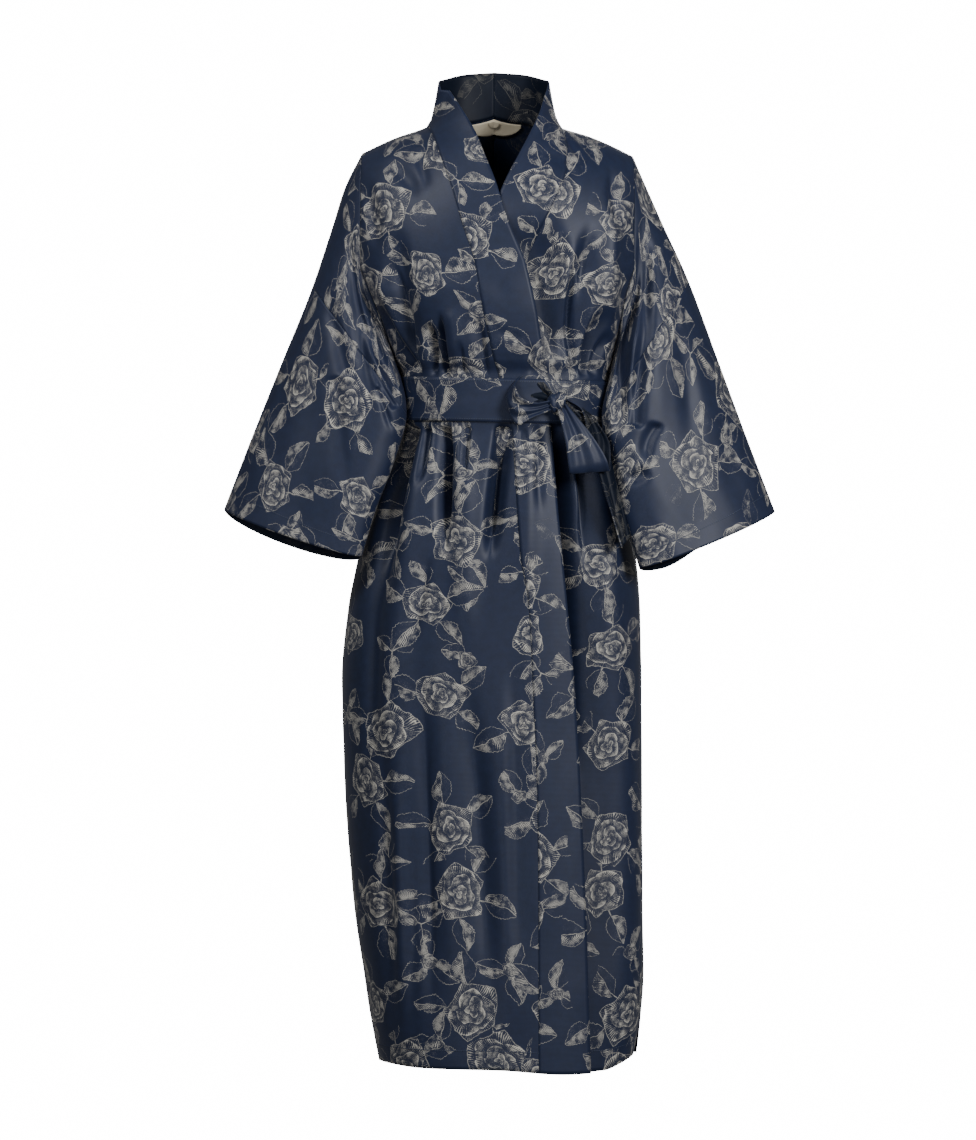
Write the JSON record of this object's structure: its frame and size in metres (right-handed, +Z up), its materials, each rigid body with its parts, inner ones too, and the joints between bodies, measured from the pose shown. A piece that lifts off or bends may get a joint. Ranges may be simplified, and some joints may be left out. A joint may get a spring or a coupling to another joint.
{
  "type": "kimono robe",
  "caption": "Long kimono robe in flower-patterned satin, worn shape with no wearer, wide sleeves, standing band and belt tied in a bow.",
  "frame": {"origin": "middle of the neck base, at the height of the shoulders' inner ends, where the robe is worn on a person's shoulders", "axes": "+Z up, +X to the wearer's left, the front faces -Y"},
  "size_m": [0.732, 0.2798, 1.333],
  "materials": {
    "satin": "navy jacquard satin with a champagne flower pattern",
    "label_tape": "plain cream woven tape"
  },
  "bodies": {
    "root": {"back_right": "satin", "back_left": "satin", "front_right": "satin", "front_left": "satin", "band_right": "satin", "band_left": "satin", "shoulder_right": "satin", "sleeve_right": "satin", "shoulder_left": "satin", "sleeve_left": "satin", "belt": "satin", "belt_knot": "satin", "bow_loop_right": "satin", "bow_loop_left": "satin", "belt_tail": "satin", "neck_label": "label_tape", "hang_loop": "label_tape"}
  },
  "joints": []
}
